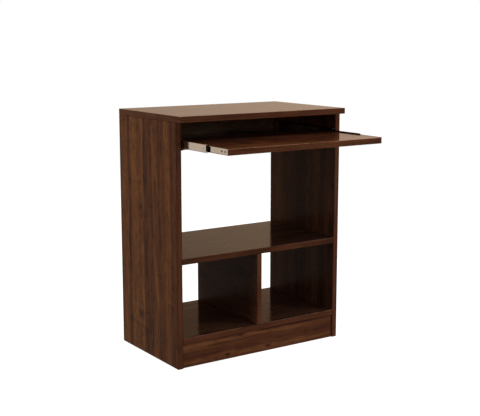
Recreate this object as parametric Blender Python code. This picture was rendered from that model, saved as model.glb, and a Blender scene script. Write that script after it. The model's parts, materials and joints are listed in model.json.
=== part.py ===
"""Study desk with a pull-out keyboard tray on telescopic ball-bearing slides.

Metres, +Z up. The front faces -Y and +X is to the right as seen from the front.
The origin is on the floor, under the middle of the desk with its tray drawn out.
"""

import math

import bmesh
import bpy
from mathutils import Matrix, Vector

MM = 0.001

# ------------------------------------------------------------------ carcass
WIDTH = 609.6 * MM  # over both side panels, 24 in
HEIGHT = 762.0 * MM  # floor to desktop, 30 in
SIDE_DEPTH = 354.6 * MM  # side panels, shelves and divider, front to back
TOP_OVERHANG = 25.4 * MM  # desktop ahead of the side panels
BOARD = 18.0 * MM  # laminated board
EDGE_R = 1.0 * MM  # rounding of the edge bands
SEAM = 0.3 * MM  # between two boards that meet
SHELF_TOP = 338.2 * MM  # middle shelf, upper face
BOTTOM_TOP = 94.2 * MM  # bottom shelf, upper face
PLINTH_SETBACK = 5.0 * MM
DIVIDER_LEFT = 287.2 * MM  # divider's left face, from the desk's left face
RAIL_HEIGHT = 127.0 * MM  # back rail under the desktop, 5 in

# ------------------------------------------------------------------ tray and slides
TRAY_OUT = 233.0 * MM  # tray's front edge ahead of the side panels
TRAY_DEPTH = 318.0 * MM
TRAY_TOP = 687.1 * MM
SLIDE_SPACE = 10.5 * MM  # between a side panel and the tray
SLIDE_LENGTH = 300.0 * MM
SLIDE_Z = 678.6 * MM  # slides' mid height
CABINET_FRONT = 3.0 * MM  # cabinet member's front end, behind the side panels' front
MIDDLE_OUT = 128.5 * MM  # intermediate member's front end, ahead of the side panels
DRAWER_SETBACK = 2.0 * MM  # drawer member's front end, behind the tray's front edge
CAGE_LENGTH = 100.0 * MM
OUTER_CAGE_FRONT = 35.0 * MM  # behind the side panels' front
INNER_CAGE_FRONT = -55.0 * MM
LEVER_START = 92.0 * MM  # release lever's tip, behind the drawer member's front end
LEVER_PIVOT = 111.0 * MM

# ------------------------------------------------------------------ fittings
CAM_R = 7.3 * MM
CAM_POCKET_R = 7.6 * MM
CAM_POCKET_DEPTH = 12.6 * MM
CAM_INSET = 24.0 * MM  # cam's axis from the joint between two boards
FITTING_FRONT = 50.0 * MM  # fittings behind the side panels' front
FITTING_REAR = 304.6 * MM
DOWEL_R = 3.9 * MM
DOWEL_HOLE_R = 4.2 * MM
ROUND_SIDES = 10  # facets of a hidden round piece

INNER_X = WIDTH / 2 - BOARD  # inner face of a side panel
FRONT_Y = (TRAY_OUT - SIDE_DEPTH) / 2  # front of the side panels
REAR_Y = FRONT_Y + SIDE_DEPTH
LEFT, RIGHT = -1, 1
SIDES = ((LEFT, "left"), (RIGHT, "right"))


def deep(distance):
    """Y of a point this far behind the front of the side panels."""
    return FRONT_Y + distance


for thing in list(bpy.data.objects):
    bpy.data.objects.remove(thing, do_unlink=True)


# ------------------------------------------------------------------ materials
def material(name, colour, roughness, metallic=0.0):
    made = bpy.data.materials.new(name)
    made.use_nodes = True
    shader = made.node_tree.nodes["Principled BSDF"]
    shader.inputs["Base Color"].default_value = (*colour, 1.0)
    shader.inputs["Roughness"].default_value = roughness
    shader.inputs["Metallic"].default_value = metallic
    made.diffuse_color = (*colour, 1.0)
    return made


WALNUT = material("walnut_laminate", (0.085, 0.043, 0.024), 0.28)
ZINC = material("zinc_plated_steel", (0.62, 0.60, 0.56), 0.30, 1.0)
BLACK = material("black_plastic", (0.012, 0.012, 0.013), 0.42)
DIECAST = material("diecast_zinc", (0.42, 0.42, 0.41), 0.45, 1.0)
BEECH = material("beech_dowel", (0.55, 0.38, 0.22), 0.7)


# ------------------------------------------------------------------ shape helpers
def add(name, bm, finish, origin=(0.0, 0.0, 0.0), parent=None, smooth=False):
    """An object whose mesh is given in world coordinates and whose origin is put at `origin`."""
    origin = Vector(origin)
    bmesh.ops.translate(bm, verts=bm.verts, vec=-origin)
    bmesh.ops.recalc_face_normals(bm, faces=bm.faces)
    mesh = bpy.data.meshes.new(name)
    bm.to_mesh(mesh)
    bm.free()
    if smooth:
        mesh.shade_smooth()
        mesh.set_sharp_from_angle(angle=math.radians(40))
    mesh.materials.append(finish)
    made = bpy.data.objects.new(name, mesh)
    bpy.context.scene.collection.objects.link(made)
    if parent is None:
        made.location = origin
    else:
        made.parent = parent
        made.location = origin - parent.location
    return made


def empty(name, place):
    made = bpy.data.objects.new(name, None)
    made.empty_display_size = 0.03
    made.location = place
    bpy.context.scene.collection.objects.link(made)
    return made


def boolean(target, bm, name, operation="DIFFERENCE"):
    """Cuts the closed shapes in bm (world coordinates) from target, or joins them to it."""
    tool = add(name, bm, target.data.materials[0])
    tool.hide_render = True
    tool.display_type = "WIRE"
    step = target.modifiers.new(name, "BOOLEAN")
    step.operation = operation
    step.object = tool
    return step


def turn_to(start, axis):
    place = Vector((0, 0, 1)).rotation_difference(Vector(axis)).to_matrix().to_4x4()
    place.translation = Vector(start)
    return place


def drill(bm, start, axis, length, radius, sides=ROUND_SIDES, before=1.0 * MM):
    """A round cutter from just before `start` to `length` past it along axis."""
    axis = Vector(axis)
    middle = Vector(start) + axis * (length - before) / 2
    bmesh.ops.create_cone(
        bm,
        cap_ends=True,
        segments=sides,
        radius1=radius,
        radius2=radius,
        depth=length + before,
        matrix=turn_to(middle, axis),
    )


def block(bm, low, high):
    low, high = Vector(low), Vector(high)
    size = high - low
    place = Matrix.Translation((low + high) / 2) @ Matrix.Diagonal((*size, 1.0))
    return bmesh.ops.create_cube(bm, size=1.0, matrix=place)["verts"]


def turned(start, axis, profile, sides=ROUND_SIDES):
    """A turned piece: profile is (distance along axis, radius) from one end to the other."""
    bm = bmesh.new()
    place = turn_to(start, axis)
    rings = []
    for s, r in profile:
        ring = []
        for i in range(sides):
            a = 2 * math.pi * i / sides
            ring.append(
                bm.verts.new(place @ Vector((r * math.cos(a), r * math.sin(a), s)))
            )
        rings.append(ring)
    for one, two in zip(rings, rings[1:]):
        for i in range(sides):
            j = (i + 1) % sides
            bm.faces.new((one[i], one[j], two[j], two[i]))
    bm.faces.new(list(reversed(rings[0])))
    bm.faces.new(rings[-1])
    return bm


def filleted(points, radius, steps=3):
    """The polyline with its inner corners rounded."""
    points = [Vector(p) for p in points]
    out = [points[0]]
    for before, corner, after in zip(points, points[1:], points[2:]):
        a = (before - corner).normalized()
        b = (after - corner).normalized()
        half = a.angle(b) / 2
        reach = radius / math.tan(half)
        centre = corner + (a + b).normalized() * (radius / math.sin(half))
        start = corner + a * reach - centre
        end = corner + b * reach - centre
        whole = start.angle_signed(end)
        for i in range(steps + 1):
            turn = Matrix.Rotation(-whole * i / steps, 2)
            out.append(centre + turn @ start)
    out.append(points[-1])
    return out


def ribbon(points, thickness):
    """The outline of a strip of sheet metal whose middle follows the polyline."""
    near, far = [], []
    for i, p in enumerate(points):
        ways = []
        if i:
            ways.append((p - points[i - 1]).normalized())
        if i < len(points) - 1:
            ways.append((points[i + 1] - p).normalized())
        normals = [Vector((-w.y, w.x)) for w in ways]
        mean = sum(normals, Vector((0.0, 0.0))).normalized()
        reach = thickness / 2 / mean.dot(normals[0])
        near.append(p + mean * reach)
        far.append(p - mean * reach)
    return near + list(reversed(far))


def slide_x(side, u):
    """X of a point at distance u from a side panel's inner face, towards the tray."""
    return side * (INNER_X - u)


def rolled(side, path, radius, thickness, front, length):
    """A rolled section along Y: path is the section's middle line, as (u, v) in mm."""
    outline = ribbon(filleted([Vector(p) * MM for p in path], radius * MM), thickness * MM)
    bm = bmesh.new()
    ring = [bm.verts.new((slide_x(side, p.x), front, SLIDE_Z + p.y)) for p in outline]
    face = bm.faces.new(ring)
    grown = bmesh.ops.extrude_face_region(bm, geom=[face])["geom"]
    bmesh.ops.translate(
        bm,
        verts=[g for g in grown if isinstance(g, bmesh.types.BMVert)],
        vec=(0.0, length, 0.0),
    )
    return bm


def board(name, x, y, z, parent=None):
    """A laminated board between the given limits, its edges lightly rounded."""
    low, high = Vector((x[0], y[0], z[0])), Vector((x[1], y[1], z[1]))
    bm = bmesh.new()
    block(bm, low, high)
    made = add(name, bm, WALNUT, (low + high) / 2, parent)
    rounding = made.modifiers.new("edge_rounding", "BEVEL")
    rounding.width = EDGE_R
    rounding.segments = 2
    rounding.limit_method = "ANGLE"
    rounding.angle_limit = math.radians(50)
    return made


# ------------------------------------------------------------------ boards
INSIDE = (-INNER_X + SEAM, INNER_X - SEAM)
FULL_DEPTH = (FRONT_Y, REAR_Y)
TOP_UNDER = HEIGHT - BOARD
SHELF_UNDER = SHELF_TOP - BOARD
BOTTOM_UNDER = BOTTOM_TOP - BOARD
DIVIDER_X = DIVIDER_LEFT - WIDTH / 2 + BOARD / 2
RAIL_Y = REAR_Y - BOARD / 2
RAIL_Z = TOP_UNDER - RAIL_HEIGHT / 2
PLINTH_Y = FRONT_Y + PLINTH_SETBACK + BOARD / 2
PLINTH_Z = BOTTOM_UNDER / 2
TRAY_HALF = INNER_X - SLIDE_SPACE
TRAY_Z = TRAY_TOP - BOARD / 2
TRAY_FRONT = FRONT_Y - TRAY_OUT

top_panel = board(
    "top_panel",
    (-WIDTH / 2, WIDTH / 2),
    (FRONT_Y - TOP_OVERHANG, REAR_Y),
    (TOP_UNDER, HEIGHT),
)
side_panels = {
    side: board(
        f"{word}_side_panel",
        sorted((side * WIDTH / 2, side * INNER_X)),
        FULL_DEPTH,
        (0.0, TOP_UNDER - SEAM),
    )
    for side, word in SIDES
}
back_rail = board(
    "back_rail", INSIDE, (REAR_Y - BOARD, REAR_Y), (TOP_UNDER - RAIL_HEIGHT, TOP_UNDER - SEAM)
)
middle_shelf = board("middle_shelf", INSIDE, FULL_DEPTH, (SHELF_UNDER, SHELF_TOP))
bottom_shelf = board("bottom_shelf", INSIDE, FULL_DEPTH, (BOTTOM_UNDER, BOTTOM_TOP))
center_divider = board(
    "center_divider",
    (DIVIDER_X - BOARD / 2, DIVIDER_X + BOARD / 2),
    FULL_DEPTH,
    (BOTTOM_TOP + SEAM, SHELF_UNDER - SEAM),
)
front_plinth = board(
    "front_plinth",
    INSIDE,
    (PLINTH_Y - BOARD / 2, PLINTH_Y + BOARD / 2),
    (0.0, BOTTOM_UNDER - SEAM),
)

# The carriage is what slides: the tray, the drawer members and their screws and levers.
carriage = empty("tray_carriage", (0.0, TRAY_FRONT, SLIDE_Z))
keyboard_tray = board(
    "keyboard_tray",
    (-TRAY_HALF, TRAY_HALF),
    (TRAY_FRONT, TRAY_FRONT + TRAY_DEPTH),
    (TRAY_TOP - BOARD, TRAY_TOP),
    parent=carriage,
)


# ------------------------------------------------------------------ cam locks and cam bolts
pockets = {}  # board -> cutters for cam pockets
bores = {}  # board -> cutters for bolt, dowel and screw holes


def cuts(store, target):
    if target.name not in store:
        store[target.name] = (target, bmesh.new())
    return store[target.name][1]


def cam_joint(name, joint, run, face, cam_board, bolt_board):
    """A cam lock in cam_board and its bolt, screwed into bolt_board.

    joint is where the bolt crosses between the boards, run the way it points into
    cam_board, and face the outward normal of the face the cam is let into.
    """
    joint, run, face = Vector(joint), Vector(run), Vector(face)
    mouth = joint + run * CAM_INSET + face * (BOARD / 2)
    drill(cuts(pockets, cam_board), mouth, -face, CAM_POCKET_DEPTH, CAM_POCKET_R, 12)
    drill(cuts(bores, cam_board), joint, run, CAM_INSET + 4.5 * MM, 4.3 * MM)
    drill(cuts(bores, bolt_board), joint, -run, 12.0 * MM, 2.9 * MM, 8)

    # the bolt: thread in bolt_board, collar at the joint, shank, neck and head in the cam
    add(
        name.replace("cam", "bolt"),
        turned(
            joint,
            run,
            [
                (-11.0 * MM, 1.6 * MM),
                (-9.5 * MM, 2.5 * MM),
                (0.6 * MM, 2.5 * MM),
                (0.6 * MM, 3.6 * MM),
                (2.6 * MM, 3.6 * MM),
                (3.4 * MM, 2.6 * MM),
                (19.2 * MM, 2.6 * MM),
                (20.0 * MM, 1.9 * MM),
                (22.4 * MM, 1.9 * MM),
                (23.0 * MM, 3.2 * MM),
                (25.8 * MM, 3.2 * MM),
            ],
            8,
        ),
        DIECAST,
        joint,
        smooth=True,
    )

    # the cam: a cup open towards the bolt, with a slot in its wall and a screwdriver slot
    cam = add(
        name,
        turned(
            mouth,
            -face,
            [
                (0.4 * MM, CAM_R - 0.4 * MM),
                (0.8 * MM, CAM_R),
                (12.2 * MM, CAM_R),
            ],
            12,
        ),
        DIECAST,
        mouth,
        smooth=True,
    )
    hollow = bmesh.new()
    drill(hollow, mouth - face * 5.2 * MM, -face, 9.0 * MM, 4.7 * MM, before=0.0)
    boolean(cam, hollow, f"{name}_hollow")
    across = run.cross(face)
    gate = bmesh.new()
    start = mouth - run * 12.0 * MM - across * 3.1 * MM - face * 5.7 * MM
    end = mouth - run * 1.0 * MM + across * 3.1 * MM - face * 13.5 * MM
    block(
        gate,
        [min(a, b) for a, b in zip(start, end)],
        [max(a, b) for a, b in zip(start, end)],
    )
    boolean(cam, gate, f"{name}_gate")
    slot = bmesh.new()
    start = mouth - run * 4.0 * MM - across * 0.7 * MM + face * 1.0 * MM
    end = mouth + run * 4.0 * MM + across * 0.7 * MM - face * 2.2 * MM
    block(
        slot,
        [min(a, b) for a, b in zip(start, end)],
        [max(a, b) for a, b in zip(start, end)],
    )
    boolean(cam, slot, f"{name}_slot")


for side, word in SIDES:
    for depth, place in ((FITTING_FRONT, "front"), (FITTING_REAR, "rear")):
        panel = side_panels[side]
        cam_joint(
            f"top_cam_{word}_{place}",
            (side * (WIDTH / 2 - BOARD / 2), deep(depth), TOP_UNDER - SEAM / 2),
            (0, 0, -1),
            (-side, 0, 0),
            panel,
            top_panel,
        )
        for plank, height, label in (
            (middle_shelf, SHELF_TOP, "shelf"),
            (bottom_shelf, BOTTOM_TOP, "bottom"),
        ):
            cam_joint(
                f"{label}_cam_{word}_{place}",
                (side * (INNER_X - SEAM / 2), deep(depth), height - BOARD / 2),
                (-side, 0, 0),
                (0, 0, -1),
                plank,
                panel,
            )


# ------------------------------------------------------------------ dowels and divider screws
def dowel(name, joint, run, short_board, long_board):
    """A grooveless dowel, 12 mm into short_board and 18 mm along run into long_board."""
    run = Vector(run)
    drill(cuts(bores, short_board), joint, -run, 12.5 * MM, DOWEL_HOLE_R)
    drill(cuts(bores, long_board), joint, run, 18.5 * MM, DOWEL_HOLE_R)
    add(
        name,
        turned(
            joint,
            run,
            [
                (-12.0 * MM, DOWEL_R - 1.0 * MM),
                (-11.0 * MM, DOWEL_R),
                (17.0 * MM, DOWEL_R),
                (18.0 * MM, DOWEL_R - 1.0 * MM),
            ],
        ),
        BEECH,
        joint,
        smooth=True,
    )


for side, word in SIDES:
    edge = side * (INNER_X - SEAM / 2)
    dowel(
        f"rail_dowel_{word}", (edge, RAIL_Y, RAIL_Z), (-side, 0, 0), side_panels[side], back_rail
    )
    dowel(
        f"plinth_dowel_{word}",
        (edge, PLINTH_Y, PLINTH_Z),
        (-side, 0, 0),
        side_panels[side],
        front_plinth,
    )
dowel(
    "divider_dowel",
    (DIVIDER_X, deep(SIDE_DEPTH / 2), SHELF_UNDER - SEAM / 2),
    (0, 0, -1),
    middle_shelf,
    center_divider,
)
for depth, place in ((70.0 * MM, "front"), (284.6 * MM, "rear")):
    foot = Vector((DIVIDER_X, deep(depth), BOTTOM_UNDER))
    drill(cuts(pockets, bottom_shelf), foot, (0, 0, 1), 3.4 * MM, 4.4 * MM)
    drill(cuts(bores, bottom_shelf), foot, (0, 0, 1), BOARD + 2.0 * MM, 2.3 * MM, 8)
    drill(
        cuts(bores, center_divider),
        foot + Vector((0, 0, BOARD + SEAM)),
        (0, 0, 1),
        29.0 * MM,
        2.3 * MM,
        8,
    )
    screw = add(
        f"divider_screw_{place}",
        turned(
            foot,
            (0, 0, 1),
            [
                (0.3 * MM, 4.0 * MM),
                (0.9 * MM, 4.0 * MM),
                (2.9 * MM, 2.0 * MM),
                (42.0 * MM, 2.0 * MM),
                (46.0 * MM, 0.4 * MM),
            ],
            8,
        ),
        ZINC,
        foot,
        smooth=True,
    )
    cross = bmesh.new()
    block(
        cross,
        foot + Vector((-2.2, -0.5, -1.0)) * MM,
        foot + Vector((2.2, 0.5, 1.6)) * MM,
    )
    boolean(screw, cross, f"divider_screw_{place}_slot")


# ------------------------------------------------------------------ telescopic slides
CABINET_PATH = ((8.4, -13.4), (8.4, -16.9), (0.9, -16.9), (0.9, 16.9), (8.4, 16.9), (8.4, 13.4))
MIDDLE_PATH = ((8.7, -11.55), (4.5, -11.55), (4.5, 11.55), (8.7, 11.55))
DRAWER_PATH = ((6.6, -8.5), (9.7, -8.5), (9.7, 8.5), (6.6, 8.5))
OUTER_CAGE_PATH = ((7.5, -14.17), (3.5, -14.17), (3.5, 14.17), (7.5, 14.17))
INNER_CAGE_PATH = ((8.5, -10.02), (5.4, -10.02), (5.4, 10.02), (8.5, 10.02))


def pan_screw(name, start, run, grip, parent=None):
    """A pan-head screw with its head on `start`, driven along run."""
    screw = add(
        name,
        turned(
            start,
            run,
            [
                (-1.4 * MM, 2.2 * MM),
                (-0.9 * MM, 3.2 * MM),
                (0.0 * MM, 3.4 * MM),
                (0.0 * MM, 1.6 * MM),
                (grip - 2.5 * MM, 1.6 * MM),
                (grip, 0.3 * MM),
            ],
            8,
        ),
        ZINC,
        start,
        parent,
        smooth=True,
    )
    return screw


def cage(name, side, path, ball_u, ball_v, ball_r, thickness, front, radius, parent=None):
    """A ball cage: a folded strip that holds two rows of balls."""
    made = add(
        name,
        rolled(side, path, radius, thickness, front, CAGE_LENGTH),
        ZINC,
        (slide_x(side, ball_u), front, SLIDE_Z),
        parent,
    )
    balls = bmesh.new()
    for row in (-1, 1):
        for i in range(4):
            bmesh.ops.create_uvsphere(
                balls,
                u_segments=8,
                v_segments=4,
                radius=ball_r * MM,
                matrix=Matrix.Translation(
                    (
                        slide_x(side, ball_u * MM),
                        front + CAGE_LENGTH * (i + 0.5) / 4,
                        SLIDE_Z + row * ball_v * MM,
                    )
                ),
            )
    boolean(made, balls, f"{name}_balls", "UNION")
    return made


for side, word in SIDES:
    panel = side_panels[side]
    run = (side, 0, 0)
    inward = (-side, 0, 0)
    cabinet_front = deep(CABINET_FRONT)
    middle_front = deep(-MIDDLE_OUT)
    drawer_front = TRAY_FRONT + DRAWER_SETBACK

    # cabinet member and its screws
    cabinet = add(
        f"{word}_slide_cabinet_member",
        rolled(side, CABINET_PATH, 1.4, 1.2, cabinet_front, SLIDE_LENGTH),
        ZINC,
        (slide_x(side, 0.9 * MM), cabinet_front, SLIDE_Z),
    )
    holes = bmesh.new()
    for offset, place in ((28.0 * MM, "front"), (252.0 * MM, "rear"), (124.0 * MM, None)):
        spot = Vector((slide_x(side, 1.5 * MM), cabinet_front + offset, SLIDE_Z))
        drill(holes, spot, run, 3.0 * MM, 2.1 * MM, 8)
        if place:
            pan_screw(f"{word}_cabinet_screw_{place}", spot + Vector(inward) * 0.1 * MM, run, 15.0 * MM)
            drill(
                cuts(bores, panel),
                (side * INNER_X, spot.y, SLIDE_Z),
                run,
                14.5 * MM,
                2.0 * MM,
                8,
            )
    boolean(cabinet, holes, f"{word}_cabinet_holes")

    # intermediate member
    middle = add(
        f"{word}_slide_intermediate_member",
        rolled(side, MIDDLE_PATH, 1.3, 1.0, middle_front, SLIDE_LENGTH),
        ZINC,
        (slide_x(side, 4.5 * MM), middle_front, SLIDE_Z),
    )
    holes = bmesh.new()
    for offset in (14.0 * MM, 160.0 * MM, 286.0 * MM):
        drill(
            holes,
            (slide_x(side, 5.0 * MM), middle_front + offset, SLIDE_Z),
            run,
            3.0 * MM,
            2.2 * MM,
            8,
        )
    boolean(middle, holes, f"{word}_intermediate_holes")

    # drawer member, with the pin that its release lever rocks on
    drawer = add(
        f"{word}_slide_drawer_member",
        rolled(side, DRAWER_PATH, 1.3, 1.0, drawer_front, SLIDE_LENGTH),
        ZINC,
        (slide_x(side, 9.7 * MM), drawer_front, SLIDE_Z),
        carriage,
    )
    holes = bmesh.new()
    for offset, place in (
        (12.0 * MM, "front"),
        (28.5 * MM, None),
        (265.0 * MM, "rear"),
        (288.0 * MM, None),
    ):
        spot = Vector((slide_x(side, 9.2 * MM), drawer_front + offset, SLIDE_Z))
        drill(holes, spot, inward, 3.0 * MM, 2.1 * MM, 8)
        if place:
            pan_screw(
                f"{word}_tray_screw_{place}",
                spot + Vector(run) * 0.1 * MM,
                inward,
                15.0 * MM,
                carriage,
            )
            drill(
                cuts(bores, keyboard_tray),
                (slide_x(side, SLIDE_SPACE), spot.y, SLIDE_Z),
                inward,
                15.5 * MM,
                2.0 * MM,
                8,
            )
    boolean(drawer, holes, f"{word}_drawer_holes")
    pivot = Vector((slide_x(side, 9.6 * MM), drawer_front + LEVER_PIVOT, SLIDE_Z))
    pin = bmesh.new()
    drill(pin, pivot, run, 3.6 * MM, 1.2 * MM, before=0.0)
    boolean(drawer, pin, f"{word}_lever_pin", "UNION")

    # release lever: an arm in the drawer member's channel and a thumb plate over its mouth
    shape = [
        (LEVER_START + a * MM, v * MM)
        for a, v in (
            (0.5, -5.0),
            (7.5, -5.0),
            (11.0, -3.2),
            (20.5, -3.2),
            (22.4, -1.6),
            (22.4, 1.6),
            (20.5, 3.2),
            (11.0, 3.2),
            (7.5, 5.0),
            (0.5, 5.0),
        )
    ]
    bm = bmesh.new()
    ring = [
        bm.verts.new((slide_x(side, 5.9 * MM), drawer_front + a, SLIDE_Z + v)) for a, v in shape
    ]
    face = bm.faces.new(ring)
    grown = bmesh.ops.extrude_face_region(bm, geom=[face])["geom"]
    bmesh.ops.translate(
        bm,
        verts=[g for g in grown if isinstance(g, bmesh.types.BMVert)],
        vec=(-side * 2.8 * MM, 0.0, 0.0),
    )
    lever = add(
        f"{word}_release_lever",
        bm,
        BLACK,
        (slide_x(side, 7.0 * MM), drawer_front + LEVER_PIVOT, SLIDE_Z),
        carriage,
    )
    plate = bmesh.new()
    corners = [
        (LEVER_START + a * MM, v * MM)
        for a, v in (
            (0.0, -8.0),
            (1.2, -9.2),
            (9.1, -9.2),
            (10.3, -8.0),
            (10.3, 8.0),
            (9.1, 9.2),
            (1.2, 9.2),
            (0.0, 8.0),
        )
    ]
    ring = [
        plate.verts.new((slide_x(side, 5.3 * MM), drawer_front + a, SLIDE_Z + v))
        for a, v in corners
    ]
    face = plate.faces.new(ring)
    grown = bmesh.ops.extrude_face_region(plate, geom=[face])["geom"]
    bmesh.ops.translate(
        plate,
        verts=[g for g in grown if isinstance(g, bmesh.types.BMVert)],
        vec=(-side * 0.95 * MM, 0.0, 0.0),
    )
    boolean(lever, plate, f"{word}_lever_plate", "UNION")
    eye = bmesh.new()
    drill(
        eye,
        (slide_x(side, 5.0 * MM), drawer_front + LEVER_PIVOT, SLIDE_Z),
        inward,
        5.0 * MM,
        1.5 * MM,
    )
    boolean(lever, eye, f"{word}_lever_eye")

    # ball cages between the members
    cage(
        f"{word}_outer_ball_cage",
        side,
        OUTER_CAGE_PATH,
        5.65,
        14.17,
        1.85,
        0.4,
        deep(OUTER_CAGE_FRONT),
        0.8,
    )
    cage(
        f"{word}_inner_ball_cage",
        side,
        INNER_CAGE_PATH,
        7.4,
        10.02,
        0.8,
        0.3,
        deep(INNER_CAGE_FRONT),
        0.5,
    )


# ------------------------------------------------------------------ drill the boards
for target, bm in pockets.values():
    boolean(target, bm, f"{target.name}_pockets")
for target, bm in bores.values():
    boolean(target, bm, f"{target.name}_bores")
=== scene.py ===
"""Study desk with a pull-out keyboard tray: finishes, fine pieces, light and camera.

Metres, +Z up, front towards -Y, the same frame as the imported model.
"""

import json
import math

import bmesh
import bpy
from mathutils import Matrix, Vector

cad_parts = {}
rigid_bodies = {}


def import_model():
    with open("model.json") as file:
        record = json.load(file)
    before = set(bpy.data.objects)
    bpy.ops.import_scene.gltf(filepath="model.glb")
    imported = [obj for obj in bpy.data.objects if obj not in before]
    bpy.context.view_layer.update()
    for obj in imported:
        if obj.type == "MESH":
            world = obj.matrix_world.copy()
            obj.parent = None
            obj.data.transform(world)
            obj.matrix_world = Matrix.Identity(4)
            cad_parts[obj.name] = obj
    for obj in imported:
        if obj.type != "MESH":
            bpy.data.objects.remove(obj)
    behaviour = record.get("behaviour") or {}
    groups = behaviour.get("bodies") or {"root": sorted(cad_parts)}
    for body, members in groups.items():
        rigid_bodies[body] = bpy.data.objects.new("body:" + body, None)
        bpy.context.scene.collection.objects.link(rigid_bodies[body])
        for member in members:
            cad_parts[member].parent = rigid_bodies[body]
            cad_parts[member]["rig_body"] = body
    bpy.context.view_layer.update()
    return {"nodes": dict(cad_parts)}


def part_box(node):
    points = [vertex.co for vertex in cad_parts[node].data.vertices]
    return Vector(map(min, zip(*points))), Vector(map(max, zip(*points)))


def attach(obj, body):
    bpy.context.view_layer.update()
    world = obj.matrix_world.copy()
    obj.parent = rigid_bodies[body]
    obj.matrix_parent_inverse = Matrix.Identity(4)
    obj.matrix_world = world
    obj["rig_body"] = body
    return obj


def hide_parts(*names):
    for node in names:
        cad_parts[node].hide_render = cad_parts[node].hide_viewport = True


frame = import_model()
nodes = frame["nodes"]
scene = bpy.context.scene
MM = 0.001


# ------------------------------------------------------------------ node trees
class Tree:
    """Writes a node tree as expressions: every call adds one node and gives its output."""

    def __init__(self, tree):
        self.tree = tree

    def node(self, kind, **settings):
        made = self.tree.nodes.new(kind)
        for name, value in settings.items():
            setattr(made, name, value)
        return made

    def put(self, socket, value):
        if isinstance(value, bpy.types.NodeSocket):
            self.tree.links.new(value, socket)
        elif value is not None:
            socket.default_value = value

    def math(self, operation, *values, clamp=False):
        made = self.node("ShaderNodeMath", operation=operation, use_clamp=clamp)
        for socket, value in zip(made.inputs, values):
            self.put(socket, value)
        return made.outputs[0]

    def add(self, a, b):
        return self.math("ADD", a, b)

    def sub(self, a, b):
        return self.math("SUBTRACT", a, b)

    def mul(self, a, b):
        return self.math("MULTIPLY", a, b)

    def step(self, value, low, high):
        """0 below low, 1 above high, smooth between."""
        made = self.node("ShaderNodeMapRange", interpolation_type="SMOOTHSTEP", clamp=True)
        self.put(made.inputs["Value"], value)
        self.put(made.inputs["From Min"], low)
        self.put(made.inputs["From Max"], high)
        return made.outputs["Result"]

    def span(self, value, from_low, from_high, to_low, to_high):
        made = self.node("ShaderNodeMapRange", interpolation_type="LINEAR", clamp=True)
        for name, given in zip(
            ("Value", "From Min", "From Max", "To Min", "To Max"),
            (value, from_low, from_high, to_low, to_high),
        ):
            self.put(made.inputs[name], given)
        return made.outputs["Result"]

    def mix(self, factor, a, b):
        made = self.node("ShaderNodeMix", data_type="FLOAT")
        self.put(made.inputs[0], factor)
        self.put(made.inputs[2], a)
        self.put(made.inputs[3], b)
        return made.outputs[0]

    def blend(self, factor, a, b, how="MIX"):
        made = self.node("ShaderNodeMix", data_type="RGBA", blend_type=how)
        self.put(made.inputs[0], factor)
        for socket, value in ((made.inputs[6], a), (made.inputs[7], b)):
            if isinstance(value, tuple) and len(value) == 3:
                value = (*value, 1.0)
            self.put(socket, value)
        return made.outputs[2]

    def combine(self, x, y, z):
        made = self.node("ShaderNodeCombineXYZ")
        for socket, value in zip(made.inputs, (x, y, z)):
            self.put(socket, value)
        return made.outputs[0]

    def grey(self, value):
        made = self.node("ShaderNodeCombineColor")
        for socket in made.inputs:
            self.put(socket, value)
        return made.outputs[0]

    def separate(self, vector):
        made = self.node("ShaderNodeSeparateXYZ")
        self.put(made.inputs[0], vector)
        return made.outputs

    def coordinates(self):
        """Place and outward direction on the piece, both in its own frame."""
        made = self.node("ShaderNodeTexCoord")
        return self.separate(made.outputs["Object"]), self.separate(made.outputs["Normal"])

    def noise(self, vector, scale=1.0, detail=2.0, rough=0.5, twist=0.0, colour=False):
        made = self.node("ShaderNodeTexNoise", noise_dimensions="3D")
        self.put(made.inputs["Vector"], vector)
        self.put(made.inputs["Scale"], scale)
        self.put(made.inputs["Detail"], detail)
        self.put(made.inputs["Roughness"], rough)
        self.put(made.inputs["Distortion"], twist)
        return made.outputs["Color" if colour else "Fac"]

    def cells(self, value, scale):
        """Strips of random width along a line: a random colour for each, and the distance in it."""
        made = self.node("ShaderNodeTexVoronoi", voronoi_dimensions="1D", feature="F1")
        self.put(made.inputs["W"], value)
        self.put(made.inputs["Scale"], scale)
        made.inputs["Randomness"].default_value = 0.85
        split = self.node("ShaderNodeSeparateColor")
        self.put(split.inputs[0], made.outputs["Color"])
        return split.outputs, made.outputs["Distance"]

    def ramp(self, factor, stops, how="LINEAR"):
        made = self.node("ShaderNodeValToRGB")
        made.color_ramp.interpolation = how
        elements = made.color_ramp.elements
        while len(elements) < len(stops):
            elements.new(1.0)
        for element, (place, value) in zip(elements, stops):
            element.position = place
            element.color = (*value, 1.0) if isinstance(value, tuple) else (value,) * 3 + (1.0,)
        self.put(made.inputs[0], factor)
        return made.outputs["Color"]

    def bump(self, height, strength, distance, normal=None):
        made = self.node("ShaderNodeBump")
        made.inputs["Strength"].default_value = strength
        made.inputs["Distance"].default_value = distance
        self.put(made.inputs["Height"], height)
        if normal is not None:
            self.put(made.inputs["Normal"], normal)
        return made.outputs[0]


def new_material(name):
    made = bpy.data.materials.new(name)
    made.use_nodes = True
    made.node_tree.nodes.clear()
    t = Tree(made.node_tree)
    shader = t.node("ShaderNodeBsdfPrincipled")
    out = t.node("ShaderNodeOutputMaterial")
    made.node_tree.links.new(shader.outputs[0], out.inputs["Surface"])
    return made, t, shader


# ------------------------------------------------------------------ walnut laminate
PRINT = 0.360  # width of the laminate's printed design, across the grain
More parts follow.
